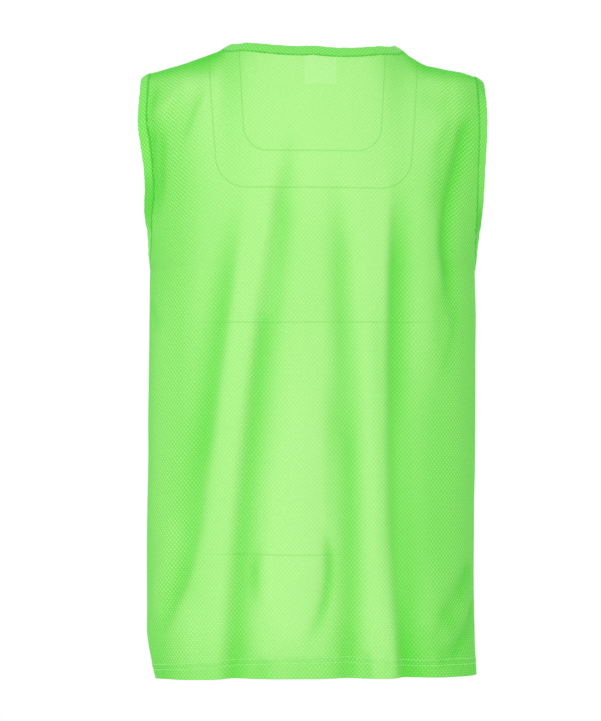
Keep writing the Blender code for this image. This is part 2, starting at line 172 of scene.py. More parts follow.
frontCreases = (
    (140, 70, 176, 130, 0, 4.5, 5.5, 2.2, 0.35, 0.35),
    (-150, 66, -188, 110, 0, 4.5, 5.5, 2, 0.3, 0.35),
    (222, 610, 130, 735, 10, 8, 11, 2.2, 0.3, 0.45),
    (-228, 590, -140, 720, -10, 8, 11, 2, 0.3, 0.45),
    (30, 590, 22, 700, 0, 5, 7, 2.4, 0.4, 0.4),
    (-232, 292, -180, 365, 6, 9, 11, 1.2, 0.3, 0.45),
)


def smoothStep(start, end, value):
    t = np.clip((value - start) / (end - start), 0, 1)
    return t * t * (3 - 2 * t)


def bell(away, reach):
    return np.exp(-((away / reach) ** 2))


def unit(vectors):
    return vectors / np.linalg.norm(vectors, axis=-1, keepdims=True)


def seamHalfWidth(drop, hand):
    return np.where(hand < 0, sections.at("left", drop), sections.at("right", drop))


def seamReach(drop, side):  # how far behind or before the shoulder line the armhole seam lies
    reach = cut["armholeBackReach"] if side == backSide else cut["armholeFrontReach"]
    half = (cut["armholeBottom"] - cut["armholeTop"]) / 2
    below = np.clip((drop - cut["armholeTop"] - half) / half, 0, 1)
    power = cut["armholeRoundness"]
    return reach * (1 - below**power) ** (1 / power)


def levelSection(drop, side, hand):
    reach = sections.at("back" if side == backSide else "front", drop)
    square = sections.at("squareness", drop)
    edge = np.clip(seamReach(drop, side) / reach, 0, 0.999) ** square
    width = seamHalfWidth(drop, hand) / (1 - edge) ** (1 / square)
    endAngle = np.arctan2((1 - edge) ** 0.5, edge**0.5)
    return width, reach, square, endAngle


def sectionReach(x, drop, side):
    width, reach, square, _ = levelSection(drop, side, np.sign(x))
    share = np.clip(np.abs(x) / width, 0, 1)
    return reach * (1 - share**square) ** (1 / square)


def shoulderShape(x, side):
    far = np.abs(x)
    top = np.where(x < 0, shoulders.at("leftTop", far), shoulders.at("rightTop", far))
    top = top + shoulders.at("backRise" if side == backSide else "frontRise", far)
    return top, shoulders.at("curveOver", far), shoulders.at("roundness", far)


def curvedOver(x, drop, side):  # share of its full reach that the cloth has under the shoulder line
    top, height, roundness = shoulderShape(x, side)
    t = np.clip((drop - top) / height, 0, 1)
    return (1 - (1 - t) ** roundness) ** (1 / roundness)


def runLengths(x, y):  # along each row of a grid from its start
    steps = np.hypot(np.diff(x, axis=1), np.diff(y, axis=1))
    return np.hstack([np.zeros((len(x), 1)), np.cumsum(steps, axis=1)])


def acrossToX(share, drops, side):
    hand = -1 if share < 0 else 1
    straight = share * seamHalfWidth(drops, hand)
    width, reach, square, endAngle = levelSection(drops, side, hand)
    angles = np.linspace(0, 1, panel["sectionSteps"])[None, :] * endAngle[:, None]
    power = 2 / square[:, None]
    x = width[:, None] * np.sin(angles) ** power
    y = reach[:, None] * np.cos(angles) ** power
    lengths = runLengths(x, y)
    girth = lengths[:, -1]
    along = np.array([np.interp(abs(share) * g, row, xs) for g, row, xs in zip(girth, lengths, x)])
    return straight + smoothStep(*panel["evenColumns"], drops) * (hand * along - straight)


def columnStart(share, side):  # drop of a column's upper end, on the neck or shoulder seam
    hand = -1 if share < 0 else 1
    x = share * seamHalfWidth(0.0, hand)
    half = cut["neckHalfWidth"]
    top, height, roundness = shoulderShape(x, side)
    if abs(x) >= half - 1e-6:
        return float(top)
    fromMiddle = abs(x - cut["neckMiddle"] * (1 - (x / half) ** 2)) / half
    reach = cut["neckBackReach"] if side == backSide else cut["neckFrontReach"]
    power = cut["neckRoundness"]
    neckY = reach * (1 - min(fromMiddle, 1) ** power) ** (1 / power)
    drop = top
    for _ in range(8):
        bowed = neckY / sectionReach(x, drop, side)
        drop = top + height * (1 - (1 - bowed**roundness) ** (1 / roundness))
    return float(drop)


def foldHeight(across, drop, folds):
    height = np.zeros_like(across)
    for row in folds:
        (startAcross, startDrop, endAcross, endDrop,
         bow, startWidth, endWidth, depth) = np.array(row[:8]) / 1000
        fadeIn, fadeOut, *lean = row[8:]
        runAcross, runDown = endAcross - startAcross, endDrop - startDrop
        length = math.hypot(runAcross, runDown)
        awayAcross, awayDown = across - startAcross, drop - startDrop
        along = (awayAcross * runAcross + awayDown * runDown) / length**2
        beside = (awayAcross * runDown - awayDown * runAcross) / length
        held = np.clip(along, 0, 1)
        beside = beside - bow * 4 * held * (1 - held)
        width = startWidth + held * (endWidth - startWidth)
        width = width * (1 + sum(lean) * np.tanh(beside / width))
        shape = bell(beside, width) * smoothStep(0, max(fadeIn, 1e-3), along)
        if fadeOut > 0:
            shape = shape * smoothStep(0, fadeOut, 1 - along)
        height -= depth * shape
    return height


# The cloth panels: a fine net of points over the same form
panel = {
    "thickness": 0.0013,
    "neckCells": 52,
    "neckCrowding": 1.35,  # finer columns towards the corner of the neck
    "shoulderCells": 33, "shoulderCrowding": 1.25,
    "seamShares": (0.9945, 0.9982),  # extra columns next to a side seam
    "topLengths": (0.0012, 0.0028),  # extra rows next to a shoulder seam
    "upperCells": 84, "underarmCrowding": 1.25, "lowerCells": 122,
    "hemRows": (
        0.0245, 0.0225, 0.0215, 0.0205, 0.0195, 0.0178, 0.0160, 0.0151,
        0.0141, 0.0131, 0.0110, 0.0080, 0.0050, 0.0025, 0.0010, 0.0,
    ),
    "columnSteps": 420, "sectionSteps": 60,  # points where a length is measured
    "evenColumns": (0.06, 0.26),  # drops between which the columns become evenly spaced
    "evenAcross": (0.14, 0.25),  # drops between which "across" is measured along the row itself
    "levelDrops": (-0.06, 0.30, 73), "levelReach": (0, 0.216, 109),
    "seamHold": 0.010,  # creases end this far from a seam
    "wanderFrom": 0.0131,  # lower rows wander less
}

# The needle rows wander a little up and down the hem
needleWander = Table(
    ("share", "rise"),
    (-1.00, -0.0035),
    (-0.70, -0.0030),
    (-0.40, 0.0005),
    (-0.05, 0.0045),
    (0.20, 0.0035),
    (0.45, -0.0005),
    (0.70, 0.0000),
    (1.00, -0.0010),
)


upperRows = panel["upperCells"] + len(panel["topLengths"])  # index of the underarm's row
shoulderColumns = panel["shoulderCells"] + len(panel["seamShares"])


def handShares(hand):  # from the middle of a panel to its seam
    neck = cut["neckHalfWidth"] / float(seamHalfWidth(0.0, hand))
    toCorner = np.linspace(1, 0, panel["neckCells"] + 1) ** panel["neckCrowding"]
    fromCorner = np.linspace(0, 1, panel["shoulderCells"] + 1)[1:] ** panel["shoulderCrowding"]
    outer = neck + (1 - neck) * fromCorner
    return np.concatenate([neck * (1 - toCorner), outer[:-1], panel["seamShares"], [1.0]])


def panelShares():
    return np.concatenate([-handShares(-1)[:0:-1], handShares(1)])


def hemRows(share, side):
    heights = np.array(panel["hemRows"])
    rise = needleWander.at("rise", -share * side)
    return heights + rise * smoothStep(0.0, panel["wanderFrom"], heights)


def rowLengths(denseDrops, lengths, share, side):
    atUnderarm = np.interp(cut["armholeBottom"], denseDrops, lengths)
    toUnderarm = np.linspace(1, 0, panel["upperCells"] + 1)[1:] ** panel["underarmCrowding"]
    start = panel["topLengths"][-1]
    upper = atUnderarm - (atUnderarm - start) * toUnderarm
    hem = lengths[-1] - hemRows(share, side)
    lower = np.linspace(atUnderarm, hem[0], panel["lowerCells"] + 1)[1:-1]
    return np.concatenate([[0], panel["topLengths"], upper, lower, hem])


def levelAcross(atX, drop, side):  # length along the level cloth from its middle
    drops, far = np.linspace(*panel["levelDrops"]), np.linspace(*panel["levelReach"])
    found = np.zeros_like(atX)
    for hand in (-1, 1):
        gridFar, gridDrop = np.meshgrid(far, drops)
        x = hand * gridFar
        y = sectionReach(x, gridDrop, side) * curvedOver(x, gridDrop, side)
        lengths = runLengths(gridFar, y)
        row = np.clip((drop - drops[0]) / (drops[1] - drops[0]), 0, len(drops) - 1.001)
        column = np.clip(np.abs(atX) / (far[1] - far[0]), 0, len(far) - 1.001)
        i, j = row.astype(int), column.astype(int)
        u, v = row - i, column - j
        upper = lengths[i, j] * (1 - v) + lengths[i, j + 1] * v
        lower = lengths[i + 1, j] * (1 - v) + lengths[i + 1, j + 1] * v
        found = np.where(atX * hand > 0, hand * (upper * (1 - u) + lower * u), found)
    return found


def rowMeasure(net):  # length along each row from its left end
    steps = np.linalg.norm(np.diff(net["points"], axis=1), axis=2)
    along = np.concatenate([np.zeros((len(steps), 1)), np.cumsum(steps, axis=1)], axis=1)
    net["fromEdge"] = np.minimum(along, along[:, -1:] - along)
    return along


# The cloth turns smoothly where the armholes end
underarm = {
    "rowsAbove": 34, "rowsBelow": 12, "smoothedOver": 0.010,
    "fade": (0.008, 0.026), "fromSeam": (0.004, 0.025),
}


def easeUnderarm(net):
    rows = slice(upperRows - underarm["rowsAbove"], upperRows + underarm["rowsBelow"])
    lengths, points = net["fromTop"][rows], net["points"][rows]
    apart = lengths[:, None, :] - lengths[None, :, :]
    weights = bell(apart, underarm["smoothedOver"]) * np.gradient(lengths, axis=0)[None]
    smoothed = np.einsum("ijc,jck->ick", weights / weights.sum(axis=1, keepdims=True), points)
    away = np.abs(net["drop"][rows] - cut["armholeBottom"])
    blend = 1 - smoothStep(*underarm["fade"], away)
    blend *= smoothStep(*underarm["fromSeam"], net["fromEdge"][rows])
    net["points"][rows] = points + (smoothed - points) * blend[..., None]


def panelNet(side):
    net = {"points": [], "drop": [], "fromTop": [], "fromHem": []}
    for share in panelShares():
        start = columnStart(share, side)
        end = float(hemLine.at("drop", share))
        dense = start + (end - start) * np.linspace(0, 1, panel["columnSteps"]) ** 2
        x = acrossToX(share, dense, side)
        y = side * sectionReach(x, dense, side) * curvedOver(x, dense, side)
        steps = np.sqrt(np.diff(x) ** 2 + np.diff(y) ** 2 + np.diff(dense) ** 2)
        lengths = np.concatenate([[0], np.cumsum(steps)])
        wanted = rowLengths(dense, lengths, share, side)
        drops = np.interp(wanted, lengths, dense)
        columnX, columnY = np.interp(wanted, lengths, x), np.interp(wanted, lengths, y)
        net["points"].append(np.stack([columnX, columnY, -drops], axis=1))
        net["drop"].append(drops)
        net["fromTop"].append(wanted)
        net["fromHem"].append(lengths[-1] - wanted)
    net["points"] = np.array(net["points"]).transpose(1, 0, 2)
    for name in ("drop", "fromTop", "fromHem"):
        net[name] = np.array(net[name]).T
    rowMeasure(net)
    easeUnderarm(net)
    along = rowMeasure(net)
    middle = net["points"].shape[1] // 2
    alongRow = along - along[:, middle : middle + 1]
    level = levelAcross(net["points"][..., 0], net["drop"], side)
    net["across"] = level + smoothStep(*panel["evenAcross"], net["drop"]) * (alongRow - level)
    net["sewnHeight"] = net["fromHem"] - needleWander.at("rise", -panelShares() * side)[None, :]
    return net


def tangents(points):  # down the rows, also where the rows are unevenly spaced
    steps = np.diff(points, axis=0)
    sizes = np.linalg.norm(steps, axis=2, keepdims=True)
    before, after = sizes[:-1], sizes[1:]
    middle = steps[1:] / after * before + steps[:-1] / before * after
    middle = middle / (before + after)
    return np.concatenate([steps[:1] / sizes[:1], middle, steps[-1:] / sizes[-1:]])


def netNormals(points, side):
    down = tangents(points)
    along = tangents(points.transpose(1, 0, 2)).transpose(1, 0, 2)
    return unit(np.cross(along, down) * side)


def shareSeams(first, second):
    columns = first.shape[1]
    seam = np.r_[0 : shoulderColumns + 1, columns - shoulderColumns - 1 : columns]
    for rows, places in ((0, seam), (slice(upperRows, None), 0), (slice(upperRows, None), -1)):
        middle = (first[rows, places] + second[rows, places]) / 2
        first[rows, places] = middle
        second[rows, places] = middle


def bothPanels():
    nets = {side: panelNet(side) for side in (backSide, frontSide)}
    folds = {backSide: backFolds, frontSide: frontFolds}
    creases = {backSide: backCreases, frontSide: frontCreases}
    for side, net in nets.items():
        net["normals"] = netNormals(net["points"], side)
        net["crease"] = foldHeight(net["across"], net["drop"], creases[side])
        net["crease"] *= smoothStep(0.0, panel["seamHold"], net["fromEdge"])
        net["fold"] = foldHeight(net["across"], net["drop"], folds[side]) + net["crease"]
    back, front = nets[backSide], nets[frontSide]
    for name in ("points", "normals", "fold"):
        shareSeams(back[name], front[name])
    for net in nets.values():
        net["level"] = unit(net["normals"])  # as the cloth faces without its folds
        net["points"] = net["points"] + net["level"] * net["fold"][..., None]
    shareSeams(back["points"], front["points"])
    for side, net in nets.items():
        net["normals"] = netNormals(net["points"], side)
    shareSeams(back["normals"], front["normals"])
    for net in nets.values():
        net["normals"] = unit(net["normals"])
    return nets


# Small unevenness of hung cloth: two waves in radians to a metre, bent by slower ones
hung = {
    "height": 0.0005,
    "level": (96, 13, 17, 21, 1.7, 2.1),
    "slant": (57, 39, 23, 31, 1.3),
    "shares": (0.6, 0.4),
    "calm": 0.02,  # none at the seams
}


def handMade(across, drop):
    alongX, alongZ, slowX, slowZ, bendX, bendZ = hung["level"]
    level = np.sin(across * alongX + bendX * np.sin(drop * slowZ))
    level = level * np.sin(drop * alongZ + bendZ * np.sin(across * slowX))
    alongX, alongZ, slowX, slowZ, bend = hung["slant"]
    slant = np.sin(across * alongX - drop * alongZ + bend * np.sin(drop * slowZ + across * slowX))
    return hung["shares"][0] * level + hung["shares"][1] * slant


# Needle rows, puckers and rolled seams
sewing = {
    "needleRows": (0.0205, 0.0141),  # heights over the hem's edge
    "needleDepth": 0.00035, "needleReach": 0.0008, "hemExtra": 0.00035,
    "hemTop": (0.0205, 0.0235), "puckerDepth": 0.00045,
    "seamPuckers": 0.5,  # share of the hem's depth
    "levelPuckers": (430, 61, 263, 0.7, 1),
    "sidePuckers": (410, 57, 251, 0.6, 0), "hemMiddle": 0.019,
    "hemReach": 0.012, "topReach": 0.011,
    "topFlat": (0.003, 0.009),  # flat inside the strips
    "sideReach": 0.010, "edgeCalm": 0.01, "seamRoll": 0.0010,
    "rollReach": 0.0018,
}


def puckers(place, close, slow, second, share, shift):
    return np.sin(place * close + 2 * np.sin(place * slow)) + share * np.sin(place * second + shift)


def sewnDetail(net):
    across, fromHem = net["across"], net["sewnHeight"]
    fromEdge, fromTop = net["fromEdge"], net["fromTop"]
    calm = smoothStep(0.0, hung["calm"], fromEdge) * smoothStep(0.0, hung["calm"], fromTop)
    detail = hung["height"] * handMade(across, net["drop"]) * calm
    detail += sewing["hemExtra"] * (1 - smoothStep(*sewing["hemTop"], fromHem))
    for height in sewing["needleRows"]:
        detail -= sewing["needleDepth"] * bell(fromHem - height, sewing["needleReach"])
    inside = smoothStep(0.0, sewing["edgeCalm"], fromEdge)
    nearHem = bell(fromHem - sewing["hemMiddle"], sewing["hemReach"])
    nearTop = bell(fromTop, sewing["topReach"]) * smoothStep(*sewing["topFlat"], fromTop)
    level = sewing["puckerDepth"] * puckers(across, *sewing["levelPuckers"]) * inside
    detail += level * (nearHem + sewing["seamPuckers"] * nearTop)
    down = sewing["puckerDepth"] * puckers(net["drop"], *sewing["sidePuckers"])
    detail += sewing["seamPuckers"] * down * bell(fromEdge, sewing["sideReach"])
    rolls = [sewing["seamRoll"] * bell(away, sewing["rollReach"]) for away in (fromEdge, fromTop)]
    detail[upperRows:] -= rolls[0][upperRows:]
    onShoulder = np.abs(np.arange(across.shape[1]) - across.shape[1] // 2) >= panel["neckCells"]
    return detail - rolls[1] * onShoulder[None, :]


def addObject(name, data, location=(0, 0, 0)):
    made = bpy.data.objects.new(name, data)
    made.location = location
    bpy.context.scene.collection.objects.link(made)
    return made


def meshObject(name, points, faces, finish, cloth=None, shade=None):
    mesh = bpy.data.meshes.new(name)
    mesh.from_pydata(points.tolist(), [], faces.tolist() if hasattr(faces, "tolist") else faces)
    if cloth is not None:  # cloth coordinates in metres, for the knit
        layer = mesh.uv_layers.new(name="clothPlace")
        corners = np.empty(len(mesh.loops), np.int32)
        mesh.loops.foreach_get("vertex_index", corners)
        layer.data.foreach_set("uv", cloth[corners].astype(np.float32).ravel())
    # painted shade on the points, for the finish to mix in
    if shade is not None:
        depth = mesh.attributes.new("paintedShade", "FLOAT", "POINT")
        depth.data.foreach_set("value", shade.astype(np.float32).ravel())
    shape = bmesh.new()
    shape.from_mesh(mesh)
    if shape.calc_volume(signed=True) < 0:
        bmesh.ops.reverse_faces(shape, faces=shape.faces)
    shape.to_mesh(mesh)
    shape.free()
    mesh.shade_smooth()
    mesh.materials.append(finish)
    made = addObject(name, mesh)
    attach(made, "root")
    return made


def shellFaces(rows, columns):  # outer net, inner net and the rim between them
    index = np.arange(rows * columns).reshape(rows, columns)
    count = rows * columns
    a, b, c, d = index[:-1, :-1], index[:-1, 1:], index[1:, 1:], index[1:, :-1]
    outer = np.stack([a, b, c, d], axis=-1).reshape(-1, 4)
    inner = np.stack([a, d, c, b], axis=-1).reshape(-1, 4) + count
    rim = np.concatenate([index[0, :], index[1:, -1], index[-1, -2::-1], index[-2:0:-1, 0]])
    after = np.roll(rim, -1)
    edge = np.stack([after, rim, rim + count, after + count], axis=-1)
    return np.concatenate([outer, inner, edge])


def clothShell(name, outer, inner, place, shade, finish):
    rows, columns = outer.shape[:2]
    points = np.concatenate([outer.reshape(-1, 3), inner.reshape(-1, 3)])
    place = np.tile(place.reshape(-1, 2), (2, 1))
    shade = np.tile(shade.ravel(), 2)
    return meshObject(name, points, shellFaces(rows, columns), finish, place, shade)


class Sock:  # a shader socket that can stand in a sum
    def __init__(self, tree, socket=None):
        self.tree = tree
        self.socket = socket

    def node(self, kind, settings=None, sockets=None, output=0):
        made = self.tree.nodes.new("ShaderNode" + kind)
        for key, value in (settings or {}).items():
            setattr(made, key, value)
        for key, value in (sockets or {}).items():
            if isinstance(value, Sock):
                self.tree.links.new(value.socket, made.inputs[key])
            else:
                made.inputs[key].default_value = value
        return Sock(self.tree, made.outputs[output])

    def maths(self, operation, *values):
        return self.node("Math", {"operation": operation}, dict(enumerate(values)))

    def __add__(self, other):
        return self.maths("ADD", self, other)

    def __sub__(self, other):
        return self.maths("SUBTRACT", self, other)

    def __rsub__(self, other):
        return self.maths("SUBTRACT", other, self)

    def __mul__(self, other):
        return self.maths("MULTIPLY", self, other)

    def __truediv__(self, other):
        return self.maths("DIVIDE", self, other)

    __radd__ = __add__
    __rmul__ = __mul__


def fade(value, start, end):  # 0 before start, 1 after end
    limits = {"Value": value, "From Min": start, "From Max": end}
    return value.node("MapRange", {"interpolation_type": "SMOOTHSTEP"}, limits)


def mixColour(factor, first, second, blend="MIX"):
    sockets = {0: factor, 6: first, 7: second}
    return factor.node("Mix", {"data_type": "RGBA", "blend_type": blend}, sockets, 2)


def newFinish(name):
    made = bpy.data.materials.new(name)
    made.use_nodes = True
    made.node_tree.nodes.clear()
    return made, Sock(made.node_tree)


def showFinish(start, shader, kind="Material"):
    output = start.tree.nodes.new("ShaderNodeOutput" + kind)
    start.tree.links.new(shader.socket, output.inputs["Surface"])


def axis(vector, k):
    return vector.node("SeparateXYZ", {}, {0: vector}, k)


def noise(start, **sockets):
    place = start.node("TexCoord", {}, {}, 3)
    return start.node("TexNoise", {}, {"Vector": place, **sockets}, 0)


def sewnFinish(start, look, colour, height):  # for thread and label
    bump = start.node("Bump", {}, {**look["bump"], "Height": height})
    middle, vary = look["roughness"]
    showFinish(start, start.node("BsdfPrincipled", {}, {
        "Base Color": colour, "Roughness": middle + height * vary,
        "Normal": bump, "Specular IOR Level": look["gloss"],
    }))


def toNearestDot(start, u, v, spacing):  # every other row is set half a step along
    nearest = None
    for shift in (0.0, 0.5):
        x = (start.maths("FRACT", u / spacing[0] + (10 + shift)) - 0.5) * spacing[0]
        y = (start.maths("FRACT", v / spacing[1] + (10 + shift)) - 0.5) * spacing[1]
        away = start.maths("SQRT", x * x + y * y)
        nearest = away if nearest is None else start.maths("MINIMUM", nearest, away)
    return nearest


# The looks of the panels, of all the yarn, and of faint lines pressed into the back
knit = {
    # painted light and shade: the panels' green is painted paler where lit and deeper where shaded,
    # mixed by the painted shade on the points
    "paintedLitGreen": (0.590, 0.845, 0.375, 1),
    "paintedShadedGreen": (0.150, 0.680, 0.075, 1),
    "gapTint": (0.54, 0.84, 0.45, 1),  # of the cloth between its raised dots
    "dotSpacing": (0.0046, 0.0054), "dotSize": (0.0004, 0.0020),
    "gapShow": (0.36, 0.90),  # on the ridges, and how much more in the troughs, where the painted shade darkens the gaps
    "sideReach": (0.125, 0.165),  # painted light and shade where the cloth turns to the sides: paler dots and darker gaps
    "sideGapShade": 0.40, "sideDotHighlight": 0.26, "dotHeight": 0.0006,
    "yarnHeight": 0.00003, "bump": 0.55, "blotch": 0.06,
    "blotchNoise": {"Scale": 7.0, "Detail": 3.0, "Roughness": 0.55},
    "roughness": (0.70, 0.12),  # middle, and how far it varies with the yarn
    "sheen": {"Sheen Weight": 0.12, "Sheen Roughness": 0.45, "Sheen Tint": (0.6, 1.0, 0.5, 1)},
    "through": 0.22, "labelColour": (0.62, 0.86, 0.43, 1), "labelShow": 0.56,
}
yarn = {
    "noise": {"Scale": 1900.0, "Detail": 2.0},
    "gloss": 0.15,
    "throughColour": (0.42, 0.78, 0.24, 1),
    # painted light: the cloth and its strips glow green by emission, for the fluorescent dye's
    # brightness
    "paintedGlowColour": (0.02, 0.80, 0.01, 1),
    "glow": 0.22,
}
pressed = {
    "colour": (0.14, 0.50, 0.05, 1), "show": 0.34, "depth": 0.0002,
    "lineHalf": 0.0004, "lineSoft": 0.0006, "tilt": 0.009,
    "levelShow": 0.8, "levelFade": 0.05,
    "loops": (
        {"middle": -0.0012, "half": 0.0775, "taper": 0.070, "foot": -0.1354, "corner": 0.027},
        {"middle": 0.0002, "half": 0.1100, "taper": 0.085, "foot": -0.1780, "corner": 0.033},
    ),
    "levels": (
        {"level": -0.332, "ends": (-0.144, 0.158)},
        {"level": -0.598, "ends": (-0.138, 0.056)},
    ),
}
labelShadow = {"x": (-0.0110, 0.0270), "z": (-0.0560, -0.0150), "soft": 0.0012}


def lineMask(away):
    far = away.maths("ABSOLUTE", away)
    return 1 - fade(far, pressed["lineHalf"], pressed["lineHalf"] + pressed["lineSoft"])


def between(value, low, high, soft):
    return fade(value, low, low + soft) * (1 - fade(value, high - soft, high))


def pressedLines(start, x, level):
    total = None
    for loop in pressed["loops"]:
        z = level + x * pressed["tilt"]
        width = (z - loop["foot"]) * loop["taper"] + loop["half"]
        fromSide = start.maths("ABSOLUTE", x - loop["middle"]) - width + loop["corner"]
        fromFoot = (loop["foot"] + loop["corner"]) - z
        cornerX = start.maths("MAXIMUM", fromSide, 0.0)
        cornerZ = start.maths("MAXIMUM", fromFoot, 0.0)
        outside = start.maths("SQRT", cornerX * cornerX + cornerZ * cornerZ)
        inside = start.maths("MINIMUM", start.maths("MAXIMUM", fromSide, fromFoot), 0.0)
        mask = lineMask(outside + inside - loop["corner"])
        total = mask if total is None else start.maths("MAXIMUM", total, mask)
    for line in pressed["levels"]:
        mask = lineMask(level - line["level"]) * pressed["levelShow"]
        mask = mask * between(x, *line["ends"], pressed["levelFade"])
        total = start.maths("MAXIMUM", total, mask)
    return total


def clothMaps(start, look):  # raised dots, painted shade, its mix to the painted deeper green, fine yarn
    clothPlace = start.node("UVMap", {"uv_map": "clothPlace"})
    away = toNearestDot(start, axis(clothPlace, 0), axis(clothPlace, 1), look["dotSpacing"])
    dots = 1 - fade(away, *look["dotSize"])
    # the painted shade stored on the points
    depth = start.node("Attribute", {"attribute_name": "paintedShade"}, {}, 2)
    blotch = noise(start, **look["blotchNoise"])
    # painted shade, with random blotches of tone
    shadeAndBlotch = fade(depth + (blotch - 0.5) * look["blotch"], 0.0, 1.0)
    return dots, depth, shadeAndBlotch, noise(start, **yarn["noise"])


def clothFinish(start, look, colour, height, fine):
    bump = start.node("Bump", {}, {"Strength": look["bump"], "Distance": 1.0, "Height": height})
    middle, vary = look["roughness"]
    # the emission is painted light: a steady green glow for the fluorescent dye
    cloth = start.node("BsdfPrincipled", {}, {
        "Base Color": colour, "Roughness": middle + (fine - 0.5) * vary, "Normal": bump,
        **look["sheen"], "Specular IOR Level": yarn["gloss"],
        "Emission Color": yarn["paintedGlowColour"], "Emission Strength": yarn["glow"],
    })
    glow = start.node("BsdfTranslucent", {}, {"Color": yarn["throughColour"], "Normal": bump})
    showFinish(start, start.node("MixShader", {}, {0: look["through"], 1: cloth, 2: glow}))


def meshFinish(name, isBack):
    made, start = newFinish(name)
    dots, depth, shadeAndBlotch, fine = clothMaps(start, knit)
    place = start.node("TexCoord", {}, {}, 3)
    x, z = axis(place, 0), axis(place, 2)
    # painted shade: the painted lit and shaded greens mixed by the painted shade
    colour = mixColour(shadeAndBlotch, knit["paintedLitGreen"], knit["paintedShadedGreen"])
    # painted light at the sides: darker gaps and paler dots where the cloth turns away, as under
    # grazing light
    paintedGrazingLight = fade(start.maths("ABSOLUTE", x), *knit["sideReach"])
    onRidges, inTroughs = knit["gapShow"]
    shown = onRidges + depth * inTroughs + paintedGrazingLight * knit["sideGapShade"]
    colour = mixColour((1 - dots) * shown, colour, knit["gapTint"], "MULTIPLY")
    colour = mixColour(dots * paintedGrazingLight * knit["sideDotHighlight"], colour, knit["paintedLitGreen"])
    height = dots * knit["dotHeight"] + fine * knit["yarnHeight"]
    if isBack:
        behindLabel = between(x, *labelShadow["x"], labelShadow["soft"])
        behindLabel *= between(z, *labelShadow["z"], labelShadow["soft"])
        colour = mixColour(behindLabel * knit["labelShow"], colour, knit["labelColour"])
        lines = pressedLines(start, x, z)
        colour = mixColour(lines * pressed["show"], colour, pressed["colour"])
        height = height - lines * pressed["depth"]
    clothFinish(start, knit, colour, height, fine)
    return made


nets = bothPanels()
print("panels worked out:", nets[backSide]["points"].shape[:2], "points each")


# Painted shade: cloth that turns from the light, tilts up at the shoulders or lies in a fold or
# crease is painted a deeper green, and lit ridges paler; it is also darker in the hem and towards
# it
paintedShading = {
    "toLight": (0.0, -1.0),  # in plan, for the back, and turned round for the front
    "slopes": 0.36, "quickness": 12.0, "start": 0.03, "sides": 0.28,
    "top": 0.66, "topStart": 0.62, "outer": 0.12, "outerAcross": (0.09, 0.18),
    "outerDown": (0.11, 0.26), "foldDepth": 0.011, "foldLimits": (-0.4, 1.2),
    "folds": 0.50, "creaseDepth": 0.0045, "creaseLimits": (-0.3, 1.2),
    "creases": 0.42, "nearHem": 0.09, "nearHemReach": (0.012, 0.075),
    "hem": 0.085, "hemTop": (0.0200, 0.0225),
    "hemFolds": 0.18,  # folds show this much less in the hem
}


def paintedShade(net, side):  # painted shade: 0 on lit ridges, 1 in deep troughs
    toLight = np.array(paintedShading["toLight"]) * -side
    facing = (unit(net["level"][..., :2]) * toLight).sum(axis=2)
    shade = paintedShading["start"] + paintedShading["slopes"] * (1 - np.exp(-(1 - facing) * paintedShading["quickness"]))
    shade += paintedShading["sides"] * (1 - facing)
    shade += paintedShading["top"] * smoothStep(paintedShading["topStart"], 1.0, net["level"][..., 2])
    outer = smoothStep(*paintedShading["outerAcross"], np.abs(net["points"][..., 0]))
    shade += paintedShading["outer"] * outer * (1 - smoothStep(*paintedShading["outerDown"], net["drop"]))
    large = net["fold"] - net["crease"]
    inHem = 1 - smoothStep(*paintedShading["hemTop"], net["sewnHeight"])
    folded = paintedShading["folds"] * np.clip(-large / paintedShading["foldDepth"], *paintedShading["foldLimits"])
    shade += folded * (1 - paintedShading["hemFolds"] * inHem)
    creased = np.clip(-net["crease"] / paintedShading["creaseDepth"], *paintedShading["creaseLimits"])
    shade += paintedShading["creases"] * creased
    shade += paintedShading["nearHem"] * (1 - smoothStep(*paintedShading["nearHemReach"], net["sewnHeight"]))
    shade += paintedShading["hem"] * inHem
    return np.clip(shade, 0, 1)


def makePanel(name, node, side, finish):
    net = nets[side]
    detail = sewnDetail(net)
    middle = net["points"] + net["normals"] * detail[..., None]
    half = net["normals"] * panel["thickness"] / 2
    place = np.stack([net["across"], net["fromHem"]], axis=-1)
    # the painted shade goes onto the cloth's points
    made = clothShell(name, middle + half, middle - half, place, paintedShade(net, side), finish)
    net["surface"] = middle + half
    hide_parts(node)
    return made


backCloth = makePanel("backCloth", "back_panel", backSide, meshFinish("backMesh", True))
frontCloth = makePanel("frontCloth", "front_panel", frontSide, meshFinish("frontMesh", False))
print("panels made")


